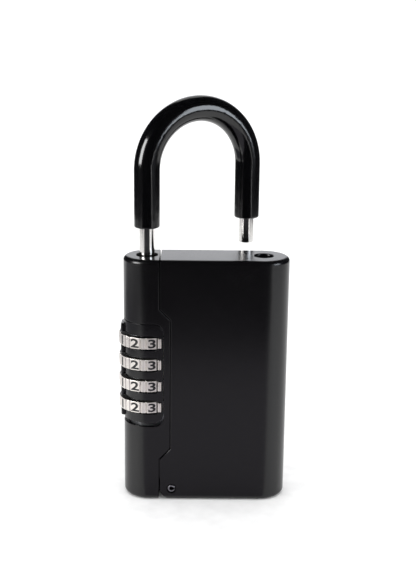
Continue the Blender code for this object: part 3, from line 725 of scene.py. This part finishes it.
def dress(obj, finish, body, slot, *nodes):
    """Gives a piece its finish, its body and the frame nodes that it stands for."""
    obj.data.materials.clear()
    obj.data.materials.append(finish)
    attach(obj, body)
    if nodes:
        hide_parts(*nodes)
    return obj


print("shaping tools are ready")

# %% [markdown]
# ## The two halves of the body
# On the real lock both halves are cast to one outline and closed together before coating, so their
# faces run on across the seam. Here both start as the same rounded block. Each keeps its own side
# of the stepped seam and is hollowed.


# %% Seam outlines
def seam(edge, drop):
    """The stepped seam from foot to top, for the half whose edge is at x = edge."""
    step = edge + SEAM_STEP
    return [
        (edge, SEAM_LOW - drop),
        (step, SEAM_LOW + SEAM_SLOPE - drop),
        (step, SEAM_HIGH - SEAM_SLOPE + drop),
        (edge, SEAM_HIGH + drop),
    ]


def case_side():
    left, top = -HALF_WIDTH - PAST, TOP + PAST
    return [(left, -PAST), (CASE_EDGE, -PAST), *seam(CASE_EDGE, 0), (CASE_EDGE, top), (left, top)]


def container_side():
    """The container's side of the seam, with its foot rounded about the pin."""
    right, top = HALF_WIDTH + PAST, TOP + PAST
    corner = arc((PIN.x, PIN.z), PIN_INSET, 180, 270, 24)
    foot = [(PIN.x, -PAST), (right, -PAST), (right, top), (BOX_EDGE, top)]
    return [*reversed(seam(BOX_EDGE, SEAM_GAP / 2)), *corner, *foot]


def body_block(name):
    return plate(name, [stadium(HALF_WIDTH, HALF_DEPTH)], 0, TOP, EDGE_ROUND)


def mouth(name, x, radius, depth):
    """A hole down through the top with a chamfered rim."""
    profile = [
        (0, TOP + HOLE_CHAMFER),
        (radius + 2 * HOLE_CHAMFER, TOP + HOLE_CHAMFER),
        (radius, TOP - HOLE_CHAMFER),
        (radius, TOP - depth),
        (0, TOP - depth),
    ]
    return turned(name, profile, (x, 0, 0))


# %% The lock case
BEZEL_GAP = 0.15 * MM
BEZEL_CORNER = 3.8 * MM
BEZEL_GROOVE = 1.5 * MM
INNER_WALL = 1.0 * MM
CAST_EDGE = 0.3 * MM
LIP_REACH = 0.8 * MM
LIP_GAP = 0.1 * MM
LIP_THICK = 0.4 * MM
LIP_FOOT = 1.0 * MM
DIAL_ROOM = DIAL_RADIUS + 2 * FIT_GAP


def bezel_outline(grow, foot):
    """The bezel from the front, with its two right corners rounded."""
    right, top = bezel_high.x + grow, bezel_high.z + grow
    radius = BEZEL_CORNER + grow
    left = -HALF_WIDTH - PAST
    low = arc((right - radius, foot + radius), radius, -90, 0, 14)
    high = arc((right - radius, top - radius), radius, 0, 90, 14)
    return [(left, foot), *low, *high, (left, top)]


def wheel_room(name, z, radius=DIAL_ROOM):
    half = DIAL_HALF + WHEEL_GAP
    return round_bar(name, (HEEL_X, 0, z - half), (HEEL_X, 0, z + half), radius, 96)


def lip_outline():
    """The thin lip that reaches behind the seam, so that no light comes through it."""
    low = case_low.z + LUG_RADIUS + PIN.z + LIP_FOOT
    high = CEILING - LIP_REACH
    left = [(x - INNER_WALL / 2, z) for x, z in seam(CASE_EDGE, 0)]
    right = [(x + LIP_REACH, z) for x, z in seam(CASE_EDGE, 0)]
    ends = [(CASE_EDGE - INNER_WALL / 2, high), (CASE_EDGE + LIP_REACH, high)]
    feet = [(CASE_EDGE + LIP_REACH, low), (CASE_EDGE - INNER_WALL / 2, low)]
    return [*left, *ends, *reversed(right), *feet]


def pin_bore():
    return round_bar("bore", (PIN.x, -PAST, PIN.z), (PIN.x, PAST, PIN.z), PIN_RADIUS + BORE_GAP)


def build_lock_case():
    case = body_block("lock_case_shell")
    keep(case, upright("side", case_side()))
    inner = CASE_EDGE - INNER_WALL
    cover_low, cover_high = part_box("mechanism_cover")
    foot, top = cover_low.z - 2 * FIT_GAP, cover_high.z + 2 * FIT_GAP
    left, open_x = -HALF_WIDTH - PAST, PAST
    shape = [
        (left, FLOOR_WALL),
        (inner, FLOOR_WALL),
        (inner, SEAM_LOW + FIT_GAP),
        (inner + SEAM_STEP, foot),
        (open_x, foot),
        (open_x, top),
        (inner + SEAM_STEP, top),
        (inner, SEAM_HIGH - FIT_GAP),
        (inner, CEILING),
        (left, CEILING),
    ]
    room = plate("room", [stadium(HALF_WIDTH - WALL, INNER_DEPTH)], 0, TOP)
    keep(room, upright("room_side", shape))
    cut(case, room)
    cut(case, upright("opening", bezel_outline(BEZEL_GAP, bezel_low.z - BEZEL_GROOVE)))
    cut(case, mouth("heel_mouth", HEEL_X, HEEL_HOLE_RADIUS, TOP_WALL + FIT_GAP))
    for z in DIAL_Z:
        cut(case, wheel_room("wheel_room", z))
    root = CASE_EDGE - INNER_WALL / 2
    eye = arc((PIN.x, PIN.z), LUG_RADIUS, -90, 90, 24)
    lug = [(root, PIN.z - LUG_RADIUS), *eye, (root, PIN.z + LUG_RADIUS)]
    add(case, upright("lug", lug, -LUG_HALF, LUG_HALF))
    cut(case, pin_bore())
    soften(case, CAST_EDGE)
    return dress(case, COATED_BODY, "lock_block", "coated_body", "lock_case")


def build_seam_lip(name, side):
    outer = side * (INNER_DEPTH - LIP_GAP)
    inner = outer - side * LIP_THICK
    lip = upright(name, lip_outline(), min(outer, inner), max(outer, inner))
    return dress(lip, COATED_BODY, "lock_block", "coated_body")


build_seam_lip("seam_lip_front", -1)
build_seam_lip("seam_lip_back", 1)
lock_case = build_lock_case()
print("lock case faces:", len(lock_case.data.polygons))

# %% [markdown]
# ## The key container
# The container starts as the same block and keeps the other side of the seam. Its foot is rounded
# about the pin so that it can swing, and a socket inside its top takes the toe of the shackle. Two
# bosses, one at each face, hold the pin, and the lug of the case sits between them.

# %% The key container
TOE_CLEAR = 0.4 * MM
SOCKET_RADIUS = 5.6 * MM
RECESS_DEPTH = 0.7 * MM
RECESS_GAP = 1.5 * FIT_GAP


def build_key_container():
    shell = body_block("key_container_shell")
    keep(shell, upright("side", container_side()))
    room = plate("room", [stadium(HALF_WIDTH - WALL, INNER_DEPTH)], FLOOR_WALL, CEILING)
    depth = TRAVEL - TOE_CLEAR + FIT_GAP
    socket_foot = TOP - depth - WALL
    cut(room, round_bar("socket", (TOE_X, 0, socket_foot), (TOE_X, 0, TOP), SOCKET_RADIUS))
    cut(shell, room)
    cut(shell, mouth("toe_mouth", TOE_X, TOE_HOLE_RADIUS, depth))
    half = LUG_HALF + FIT_GAP
    for side in (-1, 1):
        start = (PIN.x, side * LUG_HALF, PIN.z)
        end = (PIN.x, side * (INNER_DEPTH + WALL / 2), PIN.z)
        add(shell, round_bar("boss", start, end, LUG_RADIUS))
    reach = PIN.x + LUG_RADIUS + 2 * FIT_GAP
    above = PIN.z + LUG_RADIUS + FIT_GAP
    cut(shell, block("notch", (BOX_EDGE - PAST, -half, -PAST), (reach, half, above)))
    cut(shell, pin_bore())
    for side in (-1, 1):
        start = (PIN.x, side * (HALF_DEPTH - RECESS_DEPTH), PIN.z)
        end = (PIN.x, side * (HALF_DEPTH + PAST), PIN.z)
        cut(shell, round_bar("recess", start, end, PIN_RADIUS + RECESS_GAP))
    soften(shell, CAST_EDGE)
    return dress(shell, COATED_BODY, "container", "coated_body", "key_container")


key_container = build_key_container()
print("key container faces:", len(key_container.data.polygons))

# %% [markdown]
# ## The bezel
# The thumbwheels stand in a separate surround that snaps into the case. It wraps round the left
# side, where a low guard rises between the wheels and keeps them from being knocked. It sits a
# little high in its opening, so a dark groove shows under it.

# %% The bezel and its guard
BEZEL_WALL = 1.5 * MM
GUARD_HALF = 3.4 * MM
GUARD_MARGIN = 6.3 * MM
GUARD_ROUND = 0.7 * MM
bar_low, bar_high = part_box("index_bar_1")
BAR_HALF = (bar_high.z - bar_low.z) / 2
WINDOW_RIGHT = -20.2 * MM
WINDOW_ABOVE = 0.6 * MM
WINDOW_BELOW = 0.45 * MM
BEZEL_ROOM = 0.25 * MM
BEZEL_EDGE = 0.16 * MM
POCKET = 0.05 * MM


def build_bezel():
    outer = [stadium(HALF_WIDTH, HALF_DEPTH)]
    bezel = plate("dial_surround", outer, bezel_low.z - OVERSIZE, bezel_high.z + OVERSIZE)
    inner = [stadium(HALF_WIDTH - BEZEL_WALL, HALF_DEPTH - BEZEL_WALL)]
    cut(bezel, plate("hollow", inner, bezel_low.z - PAST, bezel_high.z + PAST))
    low = (bezel_low.x, -GUARD_HALF, DIAL_Z[-1] - GUARD_MARGIN)
    high = (-HALF_WIDTH + BEZEL_WALL / 2, GUARD_HALF, DIAL_Z[0] + GUARD_MARGIN)
    guard = soften(block("guard", low, high), GUARD_ROUND, segments=4)
    add(bezel, guard)
    keep(bezel, upright("outline", bezel_outline(0, bezel_low.z)))
    for z in DIAL_Z:
        low = (-HALF_WIDTH - PAST, -PAST, z - DIAL_HALF - WINDOW_BELOW)
        cut(bezel, block("window", low, (WINDOW_RIGHT, PAST, z + DIAL_HALF + WINDOW_ABOVE)))
        cut(bezel, wheel_room("wheel_room", z, DIAL_RADIUS + BEZEL_ROOM))
        slot = BAR_HALF + BEZEL_GAP
        low = (bar_low.x - BEZEL_GAP, bar_low.y - OVERSIZE, z - slot)
        cut(bezel, block("pocket", low, (bar_high.x + BEZEL_GAP, bar_high.y + POCKET, z + slot)))
    soften(bezel, BEZEL_EDGE)
    return dress(bezel, BEZEL_BLACK, "lock_block", "bezel_black", "dial_bezel")


dial_bezel = build_bezel()
print("bezel faces:", len(dial_bezel.data.polygons))

# %% [markdown]
# ## The index bars
# A bright bar beside each wheel shows which digit counts. It is a small nickel block in a pocket of
# the bezel, so a box with rounded edges is enough.

# %% Index bars
BAR_EDGE = 0.26 * MM
for number in WHEEL_NUMBERS:
    node = "index_bar_%d" % number
    low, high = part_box(node)
    bar = soften(block("index_mark_%d" % number, low, high), BAR_EDGE, segments=3)
    dress(bar, WHEEL_NICKEL, "lock_block", "wheel_nickel", node)
print("index bars:", len(WHEEL_NUMBERS))

# %% [markdown]
# ## The thumbwheels
# Each wheel has ten flats, one for each digit, and between two flats a fluted ridge with a valley
# on each side, for the fingertip. A flat and a ridge together take 36 degrees, so one loop over
# the digits draws the whole outline.

# %% Wheel outline
FLAT_HALF = math.radians(10.2)
RIDGE_HALF = math.radians(4.4)
VALLEY_DEPTH = 0.6 * MM
RIB_DEPTH = 0.09 * MM
RIBS = 3
RIB_STEPS = 4
WHEEL_EDGE = 0.22 * MM
SHOWN_DIGIT = 3
SHOWN_TURN = 12.2
SHOWN_ANGLE = math.radians(-90 + SHOWN_TURN)
STEP = 2 * math.pi / DIGITS


def digit_angle(digit):
    return SHOWN_ANGLE + STEP * (digit - SHOWN_DIGIT)


def at(angle, radius):
    return (HEEL_X + radius * math.cos(angle), radius * math.sin(angle))


def wheel_outline():
    """Ten flats, and between two flats a fluted ridge with a valley on each side."""
    points = []
    valley = (FLAT_HALF + STEP / 2 - RIDGE_HALF) / 2
    count = RIB_STEPS * RIBS
    for digit in range(DIGITS):
        middle = digit_angle(digit)
        ridge = middle + STEP / 2
        points.append(at(middle - valley, DIAL_RADIUS - VALLEY_DEPTH))
        points.append(at(middle - FLAT_HALF, DIAL_RADIUS))
        points.append(at(middle + FLAT_HALF, DIAL_RADIUS))
        points.append(at(middle + valley, DIAL_RADIUS - VALLEY_DEPTH))
        for i in range(count + 1):
            share = i / count
            dip = RIB_DEPTH * (1 - abs(math.cos(math.pi * RIBS * (share - 0.5))))
            points.append(at(ridge + RIDGE_HALF * (2 * share - 1), DIAL_RADIUS - RIB_DEPTH - dip))
    return points


# %% [markdown]
# ## The digits
# The digits are pressed into the wheel and filled with black paint. Text made into a mesh gives
# them a clean edge. Each is a thin inlay that stands a hair above its flat, because two surfaces at
# one height would fight over which is seen.

# %% Digits as flat inlays
DIGIT_HEIGHT = 3.75 * MM
DIGIT_STRETCH = 1.5
DIGIT_WEIGHT = 0.028
INLAY = 0.03
FLAT_RADIUS = DIAL_RADIUS * math.cos(FLAT_HALF)


def digit_inlay(digit, z, name):
    """One painted digit, standing on its flat of the wheel."""
    text = bpy.data.curves.new(name, "FONT")
    text.body = str(digit)
    text.extrude = INLAY
    text.offset = DIGIT_WEIGHT
    text.resolution_u = 8
    made = solid_from_curve(name, text)
    corners = [vert.co for vert in made.data.vertices]
    low = Vector([min(c[axis] for c in corners) for axis in range(3)])
    high = Vector([max(c[axis] for c in corners) for axis in range(3)])
    centred = Matrix.Translation(-(low + high) / 2)
    tall = DIGIT_HEIGHT / (high.y - low.y)
    scale = Matrix.Diagonal((tall * DIGIT_STRETCH, tall, MM, 1))
    angle = digit_angle(digit)
    place = Matrix.Translation((HEEL_X + FLAT_RADIUS * math.cos(angle), FLAT_RADIUS * math.sin(angle), z))
    face = Matrix.Rotation(angle + math.pi / 2, 4, "Z") @ Matrix.Rotation(math.pi / 2, 4, "X")
    made.data.transform(place @ face @ scale @ centred)
    return made


def build_wheel(number):
    z = DIAL_Z[number - 1]
    body = "dial_%d" % number
    wheel = plate("thumbwheel_%d" % number, [wheel_outline()], z - DIAL_HALF, z + DIAL_HALF)
    soften(wheel, WHEEL_EDGE, angle=60, segments=3)
    cut(wheel, round_bar("bore", (HEEL_X, 0, z - PAST), (HEEL_X, 0, z + PAST), DIAL_BORE, 96))
    even_shading(wheel)
    dress(wheel, WHEEL_NICKEL, body, "wheel_nickel", "dial_ring_%d" % number)
    for digit in range(DIGITS):
        inlay = digit_inlay(digit, z, "digit_%d_on_wheel_%d" % (digit, number))
        dress(inlay, DIGIT_PAINT, body, "wheel_nickel")


for number in WHEEL_NUMBERS:
    build_wheel(number)
print("thumbwheels:", len(WHEEL_NUMBERS), "with", DIGITS, "digits each")

# %% [markdown]
# ## The shackle
# The rod is bent cold from one bar. Its heel has a neck and a head that hang in the spindle's
# yoke, and its toe is chamfered to find its hole. The sleeve is a vinyl tube pushed over the bend,
# with soft rounded ends that grip the rod.


# %% Shackle rod and sleeve
def shackle_line(foot, toe, steps=64):
    """The middle line in the shackle's own plane: distance from the heel, and height."""
    bend = arc((ARCH_RADIUS, ARCH_Z), ARCH_RADIUS, 180, 0, steps)
    return [(0, foot), *bend, (2 * ARCH_RADIUS, toe)]


def bent_bar(name, line, radius, resolution=10):
    curve = bpy.data.curves.new(name, "CURVE")
    curve.dimensions = "3D"
    curve.bevel_depth = radius
    curve.bevel_resolution = resolution
    curve.use_fill_caps = True
    spline = curve.splines.new("POLY")
    spline.points.add(len(line) - 1)
    for point, (across, z) in zip(spline.points, line, strict=True):
        point.co = (across, 0, z, 1)
    return solid_from_curve(name, curve)


SWING = Matrix.Translation((HEEL_X, 0, 0)) @ Matrix.Rotation(SHACKLE_TURN, 4, "Z")
HEAD_HEIGHT = 2.0 * MM
NECK_HEIGHT = 1.8 * MM
NECK_TOP = rod_low.z + HEAD_HEIGHT + NECK_HEIGHT
NECK_RADIUS = 2.0 * MM
ROD_EDGE = 0.45 * MM
SLEEVE_EDGE = 0.7 * MM
SLEEVE_GAP = 0.05 * MM


def build_rod():
    bar = bent_bar("shackle_bar", shackle_line(rod_low.z, TOE_FOOT), ROD_RADIUS)
    ring = [circle((0, 0), ROD_RADIUS + OVERSIZE), circle((0, 0), NECK_RADIUS)]
    cut(bar, plate("neck", ring, rod_low.z + HEAD_HEIGHT, NECK_TOP))
    soften(bar, ROD_EDGE, angle=50, segments=4)
    bar.data.transform(SWING)
    return dress(bar, SHACKLE_STEEL, "shackle", "shackle_steel", "shackle_rod")


def build_sleeve():
    tube = bent_bar("vinyl_sleeve", shackle_line(sleeve_low.z, sleeve_low.z), SLEEVE_RADIUS, 14)
    line = shackle_line(sleeve_low.z - PAST, sleeve_low.z - PAST)
    cut(tube, bent_bar("hollow", line, ROD_RADIUS + SLEEVE_GAP))
    soften(tube, SLEEVE_EDGE, angle=60, segments=5)
    tube.data.transform(SWING)
    return dress(tube, SLEEVE_VINYL, "shackle", "sleeve_vinyl", "shackle_sleeve")


shackle_rod = build_rod()
shackle_sleeve = build_sleeve()
print("shackle faces:", len(shackle_rod.data.polygons), len(shackle_sleeve.data.polygons))

# %% [markdown]
# ## The shackle's spring
# A coil of round wire pushes the shackle up when the lock opens. A line of points that climbs round
# a circle gives the coil, and the line is then given its thickness.

# %% The shackle's spring
SPRING_WIRE = 0.4 * MM
SPRING_TURNS = 8
COIL_STEPS = 40
spring_low, spring_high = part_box("shackle_spring")


def build_spring():
    """The coil under the spindle."""
    radius = (spring_high.x - spring_low.x) / 2 - SPRING_WIRE
    foot, head = spring_low.z + SPRING_WIRE, spring_high.z - SPRING_WIRE
    curve = bpy.data.curves.new("coil", "CURVE")
    curve.dimensions = "3D"
    curve.bevel_depth = SPRING_WIRE
    curve.bevel_resolution = 4
    curve.use_fill_caps = True
    count = SPRING_TURNS * COIL_STEPS
    spline = curve.splines.new("POLY")
    spline.points.add(count)
    for i, point in enumerate(spline.points):
        angle = 2 * math.pi * i / COIL_STEPS
        z = foot + (head - foot) * i / count
        point.co = (HEEL_X + radius * math.cos(angle), radius * math.sin(angle), z, 1)
    spring = solid_from_curve("lift_spring", curve)
    spring.data.shade_smooth()
    dress(spring, SPRING_STEEL, "lock_block", "spring_steel", "shackle_spring")
    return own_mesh(spring)


lift_spring = build_spring()
print("spring faces:", len(lift_spring.data.polygons))

# %% [markdown]
# ## The hinge pin
# The container turns on a rolled pin: a strip of spring steel curled into a tube, so a slit runs
# along it and its ends show a dark hole. It is blackened, and sits a little below the faces.

# %% Hinge pin
PIN_HOLLOW = 0.5
PIN_EDGE = 0.2 * MM
SLIT_HALF = 0.14 * MM
PIN_PAST = 5 * MM


def build_pin():
    front, back = pin_low.y, pin_high.y
    pin = round_bar("rolled_pin", (PIN.x, front, PIN.z), (PIN.x, back, PIN.z), PIN_RADIUS)
    before, behind = front - PIN_PAST, back + PIN_PAST
    radius = PIN_RADIUS * PIN_HOLLOW
    cut(pin, round_bar("hollow", (PIN.x, before, PIN.z), (PIN.x, behind, PIN.z), radius))
    low = (PIN.x, before, PIN.z - SLIT_HALF)
    high = (PIN.x + PIN_PAST, behind, PIN.z + SLIT_HALF)
    cut(pin, block("slit", low, high))
    soften(pin, PIN_EDGE, angle=60, segments=3)
    return dress(pin, DARK_PIN, "lock_block", "spring_steel", "hinge_pin")


hinge_pin = build_pin()
print("hinge pin faces:", len(hinge_pin.data.polygons))

# %% [markdown]
# ## The mechanism
# The pieces inside show only when the container is open or through the windows. Their shapes in
# the frame are right, so they stay as they are. Each gets its own metal or plastic, and modifiers
# that break its sharp edges.

# %% Finishes of the pieces that stay
HUBS = ["code_hub_%d" % number for number in WHEEL_NUMBERS]
SPACERS = ["dial_spacer_%d" % number for number in range(1, len(WHEEL_NUMBERS))]
SCREWS = ["cover_screw_top", "cover_screw_bottom"]
INSIDE = [
    (BARE_ZINC, [*HUBS, "upper_guide", "lower_guide", "mechanism_cover"]),
    (NYLON, [*SPACERS, "heel_guide", "spring_seat"]),
    (SPRING_STEEL, ["click_spring", *SCREWS, "locking_spindle"]),
    (BLACK_PLASTIC, ["code_slider"]),
]
INSIDE_EDGE = 0.12 * MM


def break_edges(kept):
    """Leaves the mesh alone, but rounds its sharp edges a little and evens its shading."""
    weld = kept.modifiers.new("weld", "WELD")
    weld.merge_threshold = TOUCHING
    edge = kept.modifiers.new("soft_edge", "BEVEL")
    edge.width = INSIDE_EDGE
    edge.segments = 2
    edge.limit_method = "ANGLE"
    edge.angle_limit = math.radians(50)
    edge.harden_normals = True


for finish, nodes in INSIDE:
    for node in nodes:
        kept = frame["nodes"][node]
        kept.data.materials.clear()
        kept.data.materials.append(finish)
        break_edges(kept)
print("kept nodes:", sum(len(nodes) for finish, nodes in INSIDE))

# %% [markdown]
# ## The box of the fine surface
# The fine surface has to stay in the frame's box, so its box is printed.

# %% Sizes and finish
low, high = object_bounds()
print("visual box in mm:", [round(v / MM, 2) for v in low], [round(v / MM, 2) for v in high])
